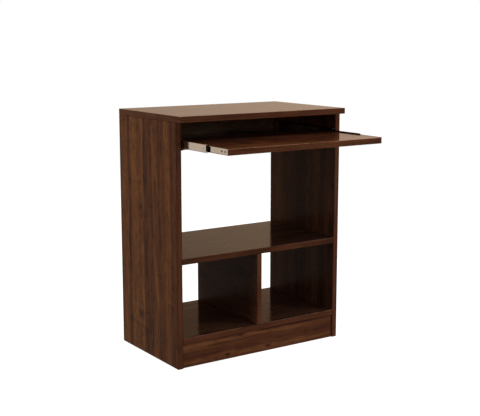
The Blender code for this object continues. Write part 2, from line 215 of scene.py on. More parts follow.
# bands of the design: (millimetres from its start, tone), 0 dark and 1 light
BANDS = (
    (0, 0.34), (8, 0.38), (12, 0.62), (26, 0.70), (48, 0.66), (56, 0.18), (66, 0.16), (72, 0.74), (100, 0.74), (126, 0.62),
    (132, 0.64), (138, 0.84), (149, 0.84), (151, 0.30), (190, 0.24), (205, 0.28), (213, 0.52), (238, 0.54), (246, 0.32),
    (268, 0.36), (279, 0.44), (286, 0.74), (314, 0.78), (320, 0.28), (359, 0.26),
)
# the tray's bands, from its front edge, are painted light and shade: lightest along the front edge and darkening
# towards the rear, where the desktop shades the tray. The plinth's print, from its top edge, starts with a painted
# shadow under the bottom shelf's edge
TRAY_BANDS = (
    (0, 1.00), (18, 0.96), (26, 0.78), (58, 0.70), (64, 0.50), (98, 0.48), (106, 0.36), (132, 0.28), (150, 0.18),
    (200, 0.14), (318, 0.14), (359, 0.14),
)
PLINTH_BANDS = (
    (0, 0.02), (3, 0.06), (6, 0.46), (9, 0.82), (17, 0.76), (23, 0.46), (34, 0.36), (50, 0.40), (53, 0.34), (54, 0.80),
    (66, 0.76), (70, 0.52), (76, 0.56), (359, 0.5),
)
# the bottom shelf's bands, from its front edge, are painted light and shade: dark at the very front and lighter just
# behind it; the divider's print runs from its top edge
BOTTOM_BANDS = ((0, 0.18), (8, 0.24), (16, 0.42), (30, 0.62), (60, 0.60), (90, 0.50), (130, 0.44), (359, 0.38))
DIVIDER_BANDS = ((0, 0.36), (40, 0.24), (90, 0.26), (118, 0.36), (160, 0.34), (176, 0.56), (226, 0.56), (359, 0.5))
# the right side panel's, from its front edge
RIGHT_BANDS = (
    (0, 0.36), (20, 0.34), (30, 0.52), (44, 0.52), (52, 0.24), (72, 0.24), (84, 0.84), (112, 0.84), (122, 0.56),
    (140, 0.78), (152, 0.42), (190, 0.32), (214, 0.56), (240, 0.62), (276, 0.66), (290, 1.00), (310, 1.00), (322, 0.56),
    (359, 0.56),
)
TONES = (
    (0.00, (0.034, 0.0132, 0.0066)),
    (0.28, (0.079, 0.0278, 0.0120)),
    (0.50, (0.100, 0.0370, 0.0142)),
    (0.80, (0.141, 0.0560, 0.0190)),
    (1.00, (0.176, 0.0760, 0.0262)),
)
EDGE_WOOD = (0.094, 0.0330, 0.0160)
# dark colour for pores and glue lines, and for the painted shade along the edge bands' sides
PORE_AND_SHADE = (0.018, 0.0080, 0.0050)


def walnut(
    name, thick, grain, cross, seed, corners, start=0.0, scale=1.0, knots=(), tone=0.0, bands=BANDS, sway=0.036,
    tint=(1.0, 1.0, 1.0), figure=1.0, edging=1.0, arris_shade=0.0, arris_highlight=0.0, painted_light_patches=(),
    shade_tint_side=0, sheen=0.125, ends=0.26,
):
    """Printed walnut laminate on one board.

    thick, grain and cross name the board's axes (0, 1, 2 for X, Y, Z). Faces show the
    printed planks with their figure; edges carry a plain band with lengthwise grain.
    The print starts at `start` on the cross axis and is reduced `scale` times (a negative
    scale turns it round). knots are (grain, cross, size) in metres and how much longer than
    wide; corners are the board's lowest and highest corner. tint and figure change the face's
    colour and contrast, edging the edges' lightness. arris_shade paints shade along both sides
    of the edge bands, darkening them towards the arrises; arris_highlight paints a highlight,
    a pale line on the upward-facing arris. painted_light_patches are soft lighter or darker
    places painted on the face where a board lies in more or less light: (grain, cross, half
    length, half width, change of tone). shade_tint_side names the one side that takes the tint,
    +1 or -1 along the thickness; 0 tints both. A tint on one side is painted shade: the cooler,
    greyer colour of shade on a side that sits in shade inside the desk. sheen is the mean
    roughness and ends how much darker the bands across the grain are.
    """
    made, t, shader = new_material(name)
    place, out = t.coordinates()
    edge = t.sub(1.0, t.step(t.math("ABSOLUTE", out[thick]), 0.68, 0.80))
    end = t.step(t.math("ABSOLUTE", out[grain]), 0.68, 0.80)

    along = t.mul(place[grain], abs(scale))
    over = t.mul(t.sub(place[cross], start), scale)

    # growth bends around the knots
    dark_spots = 0.0
    for at_grain, at_cross, size, longer in knots:
        size *= abs(scale)
        g = t.math("DIVIDE", t.sub(along, at_grain * abs(scale)), size * longer)
        c = t.math("DIVIDE", t.sub(over, (at_cross - start) * scale), size)
        ragged = t.noise(t.combine(t.mul(along, 90.0), t.mul(over, 90.0), seed), 1.0, 2.0, 0.6)
        far = t.math("SQRT", t.add(t.mul(g, g), t.mul(c, c)))
        far = t.add(far, t.mul(t.sub(ragged, 0.5), 1.6))
        pull = t.sub(1.0, t.step(far, 0.0, 4.0))
        away = t.mul(t.mul(pull, size * 0.9), t.math("SIGN", c))
        over = t.sub(over, away)
        core = t.sub(1.0, t.step(far, 0.10, 1.25))
        dark_spots = t.math("MAXIMUM", dark_spots, core)

    # printed planks, their sides a little wavy
    wave = t.noise(t.combine(t.mul(along, 5.0), t.mul(over, 6.0), seed), 1.0, 3.0, 0.55)
    wavy = t.add(over, t.mul(t.sub(wave, 0.5), sway))
    part = t.math("FRACT", t.math("DIVIDE", wavy, PRINT))
    plank = t.ramp(part, [(mm / 1000.0 / PRINT, value) for mm, value in bands])
    light = t.step(plank, 0.45, 0.75)
    # a pale streak that slants over the dark plank, once in every length of the design
    again = t.math("FRACT", t.math("DIVIDE", t.sub(0.724, along), 0.345))
    slant = t.sub(t.mul(part, PRINT), t.add(t.mul(again, 0.0627), 0.205))
    wedge = t.mul(t.sub(1.0, t.step(t.math("ABSOLUTE", slant), 0.002, 0.011)), t.sub(1.0, t.step(again, 0.55, 0.70)))

    # figure: long streaks, mottled cathedrals on the light planks, smoky clouds on the dark
    streak = t.noise(t.combine(t.mul(over, 58.0), t.mul(along, 4.2), seed + 0.7), 1.0, 5.0, 0.62, 0.7)
    mottle = t.noise(t.combine(t.mul(over, 34.0), t.mul(along, 13.0), seed + 1.9), 1.0, 4.0, 0.6, 1.3)
    cloud = t.noise(t.combine(t.mul(over, 15.0), t.mul(along, 24.0), seed + 4.1), 1.0, 3.0, 0.55, 0.8)
    fine = t.noise(t.combine(t.mul(over, 260.0), t.mul(along, 7.0), seed + 2.3), 1.0, 3.0, 0.6)
    pores = t.noise(t.combine(t.mul(over, 1600.0), t.mul(along, 60.0), seed), 1.0, 1.0, 0.4)
    pore = t.step(pores, 0.65, 0.73)

    # growth lines: distance from a heart that drifts along the board
    drift = t.noise(t.combine(t.mul(along, 3.6), t.mul(over, 6.0), seed + 6.0), 1.0, 3.0, 0.55)
    deep = t.add(t.mul(t.sub(drift, 0.5), 0.16), t.mul(along, 0.05))
    heart = t.mul(t.sub(part, 0.31), PRINT * 0.5)
    ring = t.math("SQRT", t.add(t.mul(heart, heart), t.add(t.mul(deep, deep), 0.00002)))
    early = t.math("FRACT", t.mul(ring, 165.0))
    late = t.mul(t.step(early, 0.30, 0.92), t.sub(1.0, t.step(early, 0.92, 1.0)))

    level = t.add(t.add(plank, tone), t.mul(wedge, 0.26))
    # painted light and shade: soft lighter or darker places on the face where a board lies in more or less light
    for at_grain, at_cross, half_grain, half_cross, change in painted_light_patches:
        g = t.math("DIVIDE", t.sub(place[grain], at_grain), half_grain)
        c = t.math("DIVIDE", t.add(t.sub(place[cross], at_cross), t.mul(t.sub(wave, 0.5), 0.05)), half_cross)
        far = t.math("SQRT", t.add(t.mul(g, g), t.mul(c, c)))
        level = t.add(level, t.mul(t.sub(1.0, t.step(far, 0.2, 1.25)), change))
    level = t.add(level, t.mul(t.sub(streak, 0.5), 1.40 * figure))
    level = t.add(level, t.mul(t.sub(mottle, 0.5), t.mix(light, 0.75 * figure, 1.20 * figure)))
    level = t.sub(level, t.mul(t.step(cloud, 0.54, 0.80), 0.26))
    level = t.add(level, t.mul(t.sub(fine, 0.5), 0.50))
    level = t.math("SUBTRACT", level, t.mul(late, t.mix(light, 0.10, 0.20)), clamp=True)
    face = t.ramp(level, TONES)
    face = t.blend(t.mul(pore, 0.40), face, PORE_AND_SHADE)
    if knots:
        face = t.blend(t.mul(dark_spots, 0.80), face, (0.021, 0.0085, 0.0055))

    # painted shade when the tint is on one side only: that side, which sits in shade inside the desk, takes the cooler,
    # greyer colour of shade; on both sides the tint is the face's own colour
    if tint != (1.0, 1.0, 1.0):
        share = t.step(t.mul(out[thick], float(shade_tint_side)), 0.4, 0.7) if shade_tint_side else 1.0
        face = t.blend(share, face, tint, "MULTIPLY")

    # a thin glue line where the edge bands meet the face
    rim = None
    for axis in (grain, cross):
        for inward in (t.sub(place[axis], corners[0][axis]), t.sub(corners[1][axis], place[axis])):
            rim = inward if rim is None else t.math("MINIMUM", rim, inward)
    glue = t.mul(t.step(rim, 0.0008, 0.0010), t.sub(1.0, t.step(rim, 0.0012, 0.0015)))
    face = t.blend(t.mul(glue, 0.55), face, PORE_AND_SHADE)

    # edge bands: straight grain along the edge, in streaks, with smoky stretches
    width = place[thick]
    length = t.mix(end, place[grain], place[cross])
    lines = t.noise(t.combine(t.mul(width, 170.0), t.mul(length, 3.0), seed + 3.0), 1.0, 5.0, 0.66)
    lumps = t.noise(t.combine(t.mul(width, 70.0), t.mul(length, 16.0), seed + 5.0), 1.0, 3.0, 0.55, 0.6)
    smoke = t.noise(t.combine(t.mul(width, 26.0), t.mul(length, 6.5), seed + 8.0), 1.0, 3.0, 0.5)
    band = t.add(t.mul(t.sub(lines, 0.5), 2.2), t.mul(t.sub(lumps, 0.5), 1.1))
    band = t.add(band, t.mul(t.sub(smoke, 0.5), 1.7))
    band = t.sub(t.span(band, -0.9, 0.9, 0.42 * edging, 1.62 * edging), t.mul(end, ends))
    edges = t.blend(1.0, EDGE_WOOD, t.grey(band), "MULTIPLY")
    # painted shade: the edge bands darken along both sides, towards the arrises
    if arris_shade:
        middle = (corners[0][thick] + corners[1][thick]) / 2
        half = (corners[1][thick] - corners[0][thick]) / 2
        aside = t.sub(half, t.math("ABSOLUTE", t.sub(width, middle)))
        edges = t.blend(t.mul(t.sub(1.0, t.step(aside, 0.0010, 0.0040)), arris_shade), edges, PORE_AND_SHADE)

    colour = t.blend(edge, face, edges)
    # painted highlight: a pale line on the upward-facing arris, broken up by the lumps
    if arris_highlight:
        tilt = out[thick]
        arris = t.mul(t.step(tilt, 0.20, 0.34), t.sub(1.0, t.step(tilt, 0.95, 0.985)))
        colour = t.blend(t.mul(arris, t.mul(t.step(lumps, 0.30, 0.60), arris_highlight)), colour, (0.34, 0.18, 0.105))
    t.put(shader.inputs["Base Color"], colour)
    rough = t.add(t.mul(t.sub(fine, 0.5), 0.08), sheen)
    rough = t.add(rough, t.mul(pore, 0.08))
    t.put(shader.inputs["Roughness"], rough)
    shader.inputs["Specular IOR Level"].default_value = 0.052
    swell = t.noise(t.combine(t.mul(over, 24.0), t.mul(along, 1.7), seed + 9.0), 1.0, 2.5, 0.5)
    pressed = t.bump(t.mul(swell, t.sub(1.0, edge)), 1.0, 0.00042)
    grainy = t.sub(t.mul(t.mix(edge, fine, lines), 0.35), t.mul(pore, t.sub(1.0, edge)))
    t.put(shader.inputs["Normal"], t.bump(grainy, 0.10, 0.00012, pressed))
    return made


# ------------------------------------------------------------------ metal, plastic, beech
def zinc(name, shade=1.0, dull=0.0, shade_film=(0.010, 0.0068, 0.0048)):
    """Zinc on rolled steel: drawn lines along Y, a faint cloud, small scuffs; on the ball sides, the faces that turn
    towards the tray, painted shade: a near-black film, rougher than the bare zinc.
    """
    made, t, shader = new_material(name)
    place, out = t.coordinates()
    cloud = t.noise(t.combine(t.mul(place[0], 30.0), t.mul(place[1], 14.0), t.mul(place[2], 30.0)), 1.0, 3.0, 0.55)
    drawn = t.noise(t.combine(t.mul(place[0], 1900.0), t.mul(place[1], 9.0), t.mul(place[2], 1900.0)), 1.0, 2.0, 0.6)
    scuff = t.noise(t.combine(t.mul(place[0], 700.0), t.mul(place[1], 160.0), t.mul(place[2], 700.0)), 1.0, 3.0, 0.7)
    scuff = t.step(scuff, 0.60, 0.74)
    tones = ((0.25, (0.82, 0.77, 0.70)), (0.5, (0.88, 0.84, 0.78)), (0.75, (0.85, 0.83, 0.80)))
    base = t.ramp(cloud, [(at, tuple(shade * part for part in tone)) for at, tone in tones])
    base = t.blend(t.mul(scuff, 0.25), base, (0.62 * shade, 0.59 * shade, 0.55 * shade))
    # painted shade: a near-black, rougher film on the faces turned towards the tray, where they sit in shadow inside
    # the desk
    ball_side = t.sub(1.0, t.step(t.mul(place[0], out[0]), -0.20, -0.06))
    painted_shade = t.mul(ball_side, t.span(cloud, 0.3, 0.7, 1.0, 0.985))
    base = t.blend(painted_shade, base, shade_film)
    t.put(shader.inputs["Base Color"], base)
    shader.inputs["Metallic"].default_value = 1.0
    rough = t.add(t.add(t.mul(cloud, 0.07), t.mul(drawn, 0.06)), 0.055 + dull)
    rough = t.add(rough, t.mul(scuff, 0.12))
    t.put(shader.inputs["Roughness"], t.mix(painted_shade, rough, 0.42))
    t.put(shader.inputs["Normal"], t.bump(drawn, 0.03, 0.00005))
    return made


def diecast(name, shade=1.0):
    """Die-cast zinc: a fine cast skin with stains."""
    made, t, shader = new_material(name)
    place, _ = t.coordinates()
    where = t.combine(*place)
    grain = t.noise(where, 900.0, 3.0, 0.6)
    stain = t.noise(where, 120.0, 3.0, 0.5)
    tones = ((0.3, (0.30, 0.295, 0.285)), (0.7, (0.46, 0.455, 0.44)))
    base = t.ramp(stain, [(at, tuple(shade * part for part in tone)) for at, tone in tones])
    t.put(shader.inputs["Base Color"], base)
    shader.inputs["Metallic"].default_value = 1.0
    t.put(shader.inputs["Roughness"], t.span(grain, 0.3, 0.7, 0.36, 0.56))
    t.put(shader.inputs["Normal"], t.bump(grain, 0.25, 0.0001))
    return made


def plastic(name):
    """Black moulded plastic with a fine spark-eroded grain and paler rubbed spots."""
    made, t, shader = new_material(name)
    place, _ = t.coordinates()
    where = t.combine(*place)
    grain = t.noise(where, 2400.0, 2.0, 0.5)
    rubbed = t.step(t.noise(where, 190.0, 3.0, 0.6), 0.50, 0.75)
    t.put(shader.inputs["Base Color"], t.blend(rubbed, (0.0028, 0.0028, 0.0030), (0.0060, 0.0060, 0.0063)))
    t.put(shader.inputs["Roughness"], t.add(t.mul(grain, 0.18), t.sub(0.44, t.mul(rubbed, 0.06))))
    shader.inputs["Specular IOR Level"].default_value = 0.08
    t.put(shader.inputs["Normal"], t.bump(grain, 0.18, 0.0001))
    return made


def beech(name):
    made, t, shader = new_material(name)
    place, _ = t.coordinates()
    where = t.combine(t.mul(place[0], 60.0), t.mul(place[1], 700.0), t.mul(place[2], 700.0))
    streak = t.noise(where, 1.0, 3.0, 0.6)
    fleck = t.step(t.noise(t.combine(t.mul(place[0], 300.0), t.mul(place[1], 2500.0), t.mul(place[2], 2500.0))), 0.60, 0.68)
    base = t.ramp(streak, [(0.3, (0.42, 0.27, 0.145)), (0.7, (0.58, 0.41, 0.245))])
    base = t.blend(t.mul(fleck, 0.5), base, (0.30, 0.17, 0.085))
    t.put(shader.inputs["Base Color"], base)
    t.put(shader.inputs["Roughness"], t.span(streak, 0.3, 0.7, 0.55, 0.75))
    t.put(shader.inputs["Normal"], t.bump(streak, 0.2, 0.0002))
    return made


X, Y, Z = 0, 1, 2
REAR = 0.2938  # rear edge of the boards
BOARDS = {
    # node: (thickness axis, grain axis, cross axis, seed, settings)
    "left_side_panel": (
        X, Z, Y, 2.0,
        {
            # painted shade along both sides of the front edge band
            "start": REAR, "scale": -1.0, "sway": 0.018, "tint": (1.01, 0.950, 0.88), "edging": 1.08, "arris_shade": 0.5,
            "knots": ((0.4687, 0.1598, 0.0125, 1.2), (0.1237, 0.1658, 0.0125, 1.2)),
        },
    ),
    "right_side_panel": (
        X, Z, Y, 7.0,
        {
            "start": -0.0608, "scale": 1.0, "bands": RIGHT_BANDS, "sway": 0.022, "figure": 0.8,
            # painted shade: the inner face takes a cooler, greyer tint, the colour of shade inside the desk
            "tint": (0.93, 0.98, 1.32), "shade_tint_side": -1, "sheen": 0.22,
            # painted shade: darker in the lower compartment and along the front of the panel
            "painted_light_patches": ((0.19, 0.21, 0.15, 0.16, -0.24), (0.27, -0.056, 0.24, 0.024, -0.30)),
            # painted shade along both sides of the front edge band
            "edging": 0.98, "arris_shade": 0.5,
            "knots": ((0.476, 0.078, 0.0085, 1.5), (0.131, 0.074, 0.0085, 1.5)),
        },
    ),
    "center_divider": (
        X, Y, Z, 11.0,
        {
            "start": 0.32, "scale": -1.0, "bands": DIVIDER_BANDS, "figure": 0.6, "tint": (0.88, 1.02, 1.45),
            # painted shade along both sides of the front edge band
            "edging": 1.5, "arris_shade": 0.4, "sheen": 0.28,
        },
    ),
    # painted highlight on the top's upper arrises
    "top_panel": (Z, X, Y, 15.0, {"start": REAR, "scale": -1.0, "edging": 0.93, "arris_highlight": 0.4, "ends": 0.08}),
    "middle_shelf": (
        Z, X, Y, 19.0,
        {
            # painted shade: the upper face takes a cooler, greyer tint, the colour of shade inside the desk
            "start": 0.149, "scale": 1.0, "figure": 0.8, "tint": (1.0, 1.28, 2.1), "shade_tint_side": 1,
            # painted highlight on the upper arrises
            "edging": 0.92, "arris_highlight": 0.4,
        },
    ),
    "bottom_shelf": (
        Z, X, Y, 23.0,
        {
            # painted shade: the upper face takes a cooler, greyer tint, the colour of shade inside the desk
            "start": -0.0608, "scale": 1.0, "bands": BOTTOM_BANDS, "figure": 0.6, "tint": (0.92, 1.13, 1.85), "shade_tint_side": 1,
            # painted highlight on the upper arrises
            "edging": 0.94, "arris_highlight": 0.6,
            # painted light and shade: lighter at the left front, darker at the right front
            "painted_light_patches": ((-0.15, 0.00, 0.15, 0.06, 0.18), (0.15, -0.02, 0.16, 0.06, -0.12), (-0.26, -0.03, 0.07, 0.045, 0.34)),
        },
    ),
    "keyboard_tray": (
        Z, X, Y, 29.0,
        {
            "start": -0.2938, "scale": 1.0, "bands": TRAY_BANDS, "sway": 0.030, "tint": (1.0, 0.87, 0.95), "figure": 1.35,
            # painted highlight on the upper arrises
            "edging": 1.06, "arris_highlight": 0.9,
            # painted light and shade: lighter at the front left and the rear right, darker at the front right and the
            # rear left, and one small dark spot
            "painted_light_patches": (
                (-0.135, -0.252, 0.130, 0.034, 0.34), (0.070, -0.242, 0.090, 0.030, -0.30),
                (0.080, -0.112, 0.120, 0.055, 0.36), (-0.140, -0.100, 0.120, 0.045, -0.14),
                (-0.150, -0.188, 0.030, 0.016, -0.45),
            ),
        },
    ),
    # painted shade: the front face takes a cooler, greyer tint, the colour of shade inside the desk
    "back_rail": (Y, X, Z, 31.0, {"start": 0.60, "scale": 1.0, "tint": (1.0, 1.55, 2.8), "shade_tint_side": -1}),
    "front_plinth": (
        Y, X, Z, 37.0,
        {
            "start": 0.0759, "scale": -1.0, "bands": PLINTH_BANDS, "sway": 0.016, "tone": 0.09, "tint": (1.0, 0.955, 1.13),
            "knots": ((-0.1240, 0.0140, 0.0060, 2.3), (0.0270, 0.0165, 0.0050, 2.0)),
            # painted light and shade: lighter towards the left end, darker towards the right end
            "painted_light_patches": ((-0.22, 0.04, 0.06, 0.07, 0.12), (0.24, 0.04, 0.08, 0.07, -0.14)),
        },
    ),
}


def dress(node, finish):
    """Gives a carried-over node its finish."""
    thing = nodes[node]
    if not thing.material_slots:
        thing.data.materials.append(finish)
    for slot in thing.material_slots:
        slot.material = finish


for node, (thick, grain, cross, seed, settings) in BOARDS.items():
    dress(node, walnut(f"walnut_{node}", thick, grain, cross, seed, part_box(node), **settings))

ZINC = zinc("zinc_plated_steel")
# painted shade: near-black zinc for the cabinet members, ball cages and cabinet screws, which sit in shadow inside the
# desk
SHADED_ZINC = zinc("zinc_painted_shade", 0.10, 0.30, (0.060, 0.038, 0.024))
PASSIVATED = zinc("passivated_zinc", 0.50, 0.05)
DIECAST = diecast("diecast_zinc")
# painted shade: die-cast darkened to near black for the cam locks, which sit in shadow inside the desk
SHADED_DIECAST = diecast("diecast_painted_shade", 0.08)
BLACK = plastic("black_plastic")
BEECH = beech("beech_dowel")
for node in nodes:
    if node in BOARDS:
        continue
    if "dowel" in node:
        dress(node, BEECH)
    elif "release_lever" in node:
        dress(node, BLACK)
    elif "_cam_" in node or "_bolt_" in node:
        dress(node, DIECAST)
    else:
        dress(node, ZINC)


# ------------------------------------------------------------------ fine pieces
INNER_X = 0.2868  # inner face of a side panel
SLIDE_Z = 0.6786  # slides' mid height
CABINET_FRONT, MIDDLE_FRONT, DRAWER_FRONT = -0.0578, -0.1893, -0.2918
SLIDE_LENGTH = 0.300
LEVER_START, LEVER_PIVOT = 0.0920, 0.1110  # behind the drawer member's front end
SIDES = ((-1, "left"), (1, "right"))


def slide_x(side, u):
    """X of a point u millimetres from a side panel's inner face, towards the tray."""
    return side * (INNER_X - u * MM)


def new_piece(name, bm):
    bmesh.ops.recalc_face_normals(bm, faces=bm.faces)
    mesh = bpy.data.meshes.new(name)
    bm.to_mesh(mesh)
    bm.free()
    made = bpy.data.objects.new(name, mesh)
    scene.collection.objects.link(made)
    return made


def settle(thing):
    """Replaces a piece's mesh by what its modifiers make of it."""
    bpy.context.view_layer.update()
    seen = thing.evaluated_get(bpy.context.evaluated_depsgraph_get())
    mesh = bpy.data.meshes.new_from_object(seen)
    old = thing.data
    thing.modifiers.clear()
    thing.data = mesh
    bpy.data.meshes.remove(old)


def carve(thing, bm, how="DIFFERENCE"):
    """Cuts a closed shape from a piece, or joins it on."""
    tool = new_piece("tool", bm)
    change = thing.modifiers.new("carve", "BOOLEAN")
    change.operation = how
    change.solver = "EXACT"
    change.object = tool
    settle(thing)
    mesh = tool.data
    bpy.data.objects.remove(tool)
    bpy.data.meshes.remove(mesh)


def soften(thing, width, segments=2, angle=40.0):
    """Rounds a piece's sharp edges."""
    change = thing.modifiers.new("soften", "BEVEL")
    change.width = width
    change.segments = segments
    change.limit_method = "ANGLE"
    change.angle_limit = math.radians(angle)
    change.use_clamp_overlap = True
    settle(thing)


def hand_in(thing, node, finish, angle=35.0):
    """The piece stands for a CAD node, moves with its body and carries this finish."""
    thing.data.materials.clear()
    thing.data.materials.append(finish)
    thing.data.shade_smooth()
    thing.data.set_sharp_from_angle(angle=math.radians(angle))
    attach(thing, nodes[node]["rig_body"])
    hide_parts(node)
    return thing


def filleted(points, radius, steps=8):
    """The polyline with its inner corners rounded."""
    points = [Vector(p) for p in points]
    out = [points[0]]
    for before, corner, after in zip(points, points[1:], points[2:]):
        a = (before - corner).normalized()
        b = (after - corner).normalized()
        half = a.angle(b) / 2
        reach = radius / math.tan(half)
        centre = corner + (a + b).normalized() * (radius / math.sin(half))
        start = corner + a * reach - centre
        whole = start.angle_signed(corner + b * reach - centre)
        for i in range(steps + 1):
            out.append(centre + Matrix.Rotation(-whole * i / steps, 2) @ start)
    out.append(points[-1])
    return out


def ribbon(points, thickness):
    """The outline of a strip of sheet metal whose middle follows the polyline."""
    near, far = [], []
    for i, p in enumerate(points):
        ways = []
        if i:
            ways.append((p - points[i - 1]).normalized())
        if i < len(points) - 1:
            ways.append((points[i + 1] - p).normalized())
        normals = [Vector((-w.y, w.x)) for w in ways]
        mean = sum(normals, Vector((0.0, 0.0))).normalized()
        reach = thickness / 2 / mean.dot(normals[0])
        near.append(p + mean * reach)
        far.append(p - mean * reach)
    return near + list(reversed(far))


def prism(corners, low, high, place):
    """A closed prism: 2-D corners, swept from low to high; place gives the 3-D point."""
    bm = bmesh.new()
    bottom = [bm.verts.new(place(p[0], p[1], low)) for p in corners]
    top = [bm.verts.new(place(p[0], p[1], high)) for p in corners]
    bm.faces.new(bottom)
    bm.faces.new(top)
    count = len(corners)
    for i in range(count):
        j = (i + 1) % count
        bm.faces.new((bottom[i], bottom[j], top[j], top[i]))
    return bm


def rounded(low, high, radius, steps=6):
    """Corners of a rectangle with rounded corners."""
    (x0, y0), (x1, y1) = low, high
    out = []
    for cx, cy, turn in (
        (x1 - radius, y1 - radius, 0.0),
        (x0 + radius, y1 - radius, 0.5),
        (x0 + radius, y0 + radius, 1.0),
        (x1 - radius, y0 + radius, 1.5),
    ):
        for i in range(steps + 1):
            a = math.pi * (turn + 0.5 * i / steps)
            out.append((cx + radius * math.cos(a), cy + radius * math.sin(a)))
    return out


def rolled(side, path, radius, thickness, front, length):
    """A rolled section along Y; path is the section's middle line, (u, v) in mm."""
    outline = ribbon(filleted(path, radius), thickness)
    return prism(
        [(p.x, p.y) for p in outline],
        front,
        front + length,
        lambda u, v, y: (slide_x(side, u), y, SLIDE_Z + v * MM),
    )


def through(side, shape, u_low, u_high, front):
    """A cutter across a member's web: shape is (mm behind its front, height in mm)."""
    return prism(
        shape,
        u_low,
        u_high,
        lambda a, v, u: (slide_x(side, u), front + a * MM, SLIDE_Z + v * MM),
    )


def disc(a, v, radius, sides=24):
    return [
        (a + radius * math.cos(2 * math.pi * i / sides), v + radius * math.sin(2 * math.pi * i / sides))
        for i in range(sides)
    ]


def notch(a, v, way_a, way_v, radius):
    """What rounding takes off a corner at (a, v): the corner less a quarter disc."""
    far = 1.5
    arc = [
        (
            a + way_a * radius * (1 - math.cos(math.pi / 2 * i / 8)),
            v + way_v * radius * (1 - math.sin(math.pi / 2 * i / 8)),
        )
        for i in range(9)
    ]
    out_a, out_v = a - way_a * far, v - way_v * far
    return arc + [(a + way_a * radius, out_v), (out_a, out_v), (out_a, v + way_v * radius)]


def turned(profile, sides=32):
    """A turned shape about Z from (height, radius) pairs, closed at both ends."""
    bm = bmesh.new()
    rings = []
    for s, r in profile:
        if r <= 0.0:
            rings.append([bm.verts.new((0.0, 0.0, s))])
        else:
            rings.append(
                [
                    bm.verts.new((r * math.cos(2 * math.pi * i / sides), r * math.sin(2 * math.pi * i / sides), s))
                    for i in range(sides)
                ]
            )
    for one, two in zip(rings, rings[1:]):
        for i in range(sides):
            j = (i + 1) % sides
            if len(one) == 1:
                bm.faces.new((one[0], two[j], two[i]))
            elif len(two) == 1:
                bm.faces.new((one[i], one[j], two[0]))
            else:
                bm.faces.new((one[i], one[j], two[j], two[i]))
    return bm


def bar(length, width, top, bottom, taper, turn=0.0):
    """A tapered bar standing on Z, for one stroke of a cross recess."""
    bm = bmesh.new()
    rings = []
    for z, k in ((top, 1.0), (bottom, taper)):
        ring = []
        for x, y in ((-1, -1), (1, -1), (1, 1), (-1, 1)):
            p = Matrix.Rotation(turn, 2) @ Vector((x * length / 2 * k, y * width / 2 * (0.6 + 0.4 * k)))
            ring.append(bm.verts.new((p.x, p.y, z)))
        rings.append(ring)
    bm.faces.new(rings[0])
    bm.faces.new(rings[1])
    for i in range(4):
        j = (i + 1) % 4
        bm.faces.new((rings[0][i], rings[0][j], rings[1][j], rings[1][i]))
    return bm


def thread(start, end, root, crest, pitch):
    """Ridges of a wood screw's thread, as (height, radius) pairs."""
    out = []
    s = start
    while s + pitch <= end:
        out += [(s, root), (s + pitch * 0.62, root * 1.02), (s + pitch * 0.8, crest), (s + pitch * 0.98, root)]
        s += pitch
    return out


def pattern(name, bm, cuts):
    """A mesh made once, to be copied to several places."""
    thing = new_piece(name, bm)
    for cut in cuts:
        carve(thing, cut)
    mesh = thing.data
    bpy.data.objects.remove(thing)
    # weld points within a micrometre of each other
    bm = bmesh.new()
    bm.from_mesh(mesh)
    bmesh.ops.remove_doubles(bm, verts=bm.verts, dist=0.001 * MM)
    bmesh.ops.dissolve_degenerate(bm, edges=bm.edges, dist=0.001 * MM)
    bm.to_mesh(mesh)
    bm.free()
    return mesh


def copy_of(mesh, name, place):
    made = bpy.data.objects.new(name, mesh.copy())
    made.data.transform(place)
    scene.collection.objects.link(made)
    return made


def axes(origin, x, z):
    """The placing whose X and Z are these directions."""
    x, z = Vector(x), Vector(z)
    y = z.cross(x)
    made = Matrix((x, y, z)).transposed().to_4x4()
    made.translation = Vector(origin)
    return made


# screws: a domed pan head and a countersunk head, both with a cross recess
PAN = pattern(
    "pan_screw",
    turned(
        [(-1.55 * MM, 0.0), (-1.53 * MM, 0.9 * MM), (-1.40 * MM, 1.9 * MM), (-1.10 * MM, 2.7 * MM),
         (-0.65 * MM, 3.25 * MM), (-0.20 * MM, 3.42 * MM), (0.0, 3.42 * MM), (0.0, 1.45 * MM)]
        + thread(0.8 * MM, 12.4 * MM, 1.15 * MM, 1.6 * MM, 1.3 * MM)
        + [(12.6 * MM, 1.0 * MM), (15.0 * MM, 0.0)]
    ),
    [
        bar(3.5 * MM, 0.95 * MM, -2.2 * MM, -0.35 * MM, 0.45),
        bar(3.5 * MM, 0.95 * MM, -2.2 * MM, -0.35 * MM, 0.45, math.pi / 2),
    ],
)
COUNTERSUNK = pattern(
    "countersunk_screw",
    turned(
        [(0.32 * MM, 0.0), (0.30 * MM, 3.7 * MM), (0.45 * MM, 4.0 * MM), (0.75 * MM, 4.0 * MM), (2.9 * MM, 1.9 * MM)]
        + thread(3.6 * MM, 43.0 * MM, 1.45 * MM, 2.0 * MM, 1.8 * MM)
        + [(43.4 * MM, 1.3 * MM), (46.0 * MM, 0.0)]
    ),
    [
        bar(4.4 * MM, 1.05 * MM, -1.0 * MM, 2.3 * MM, 0.4),
        bar(4.4 * MM, 1.05 * MM, -1.0 * MM, 2.3 * MM, 0.4, math.pi / 2),
    ],
)
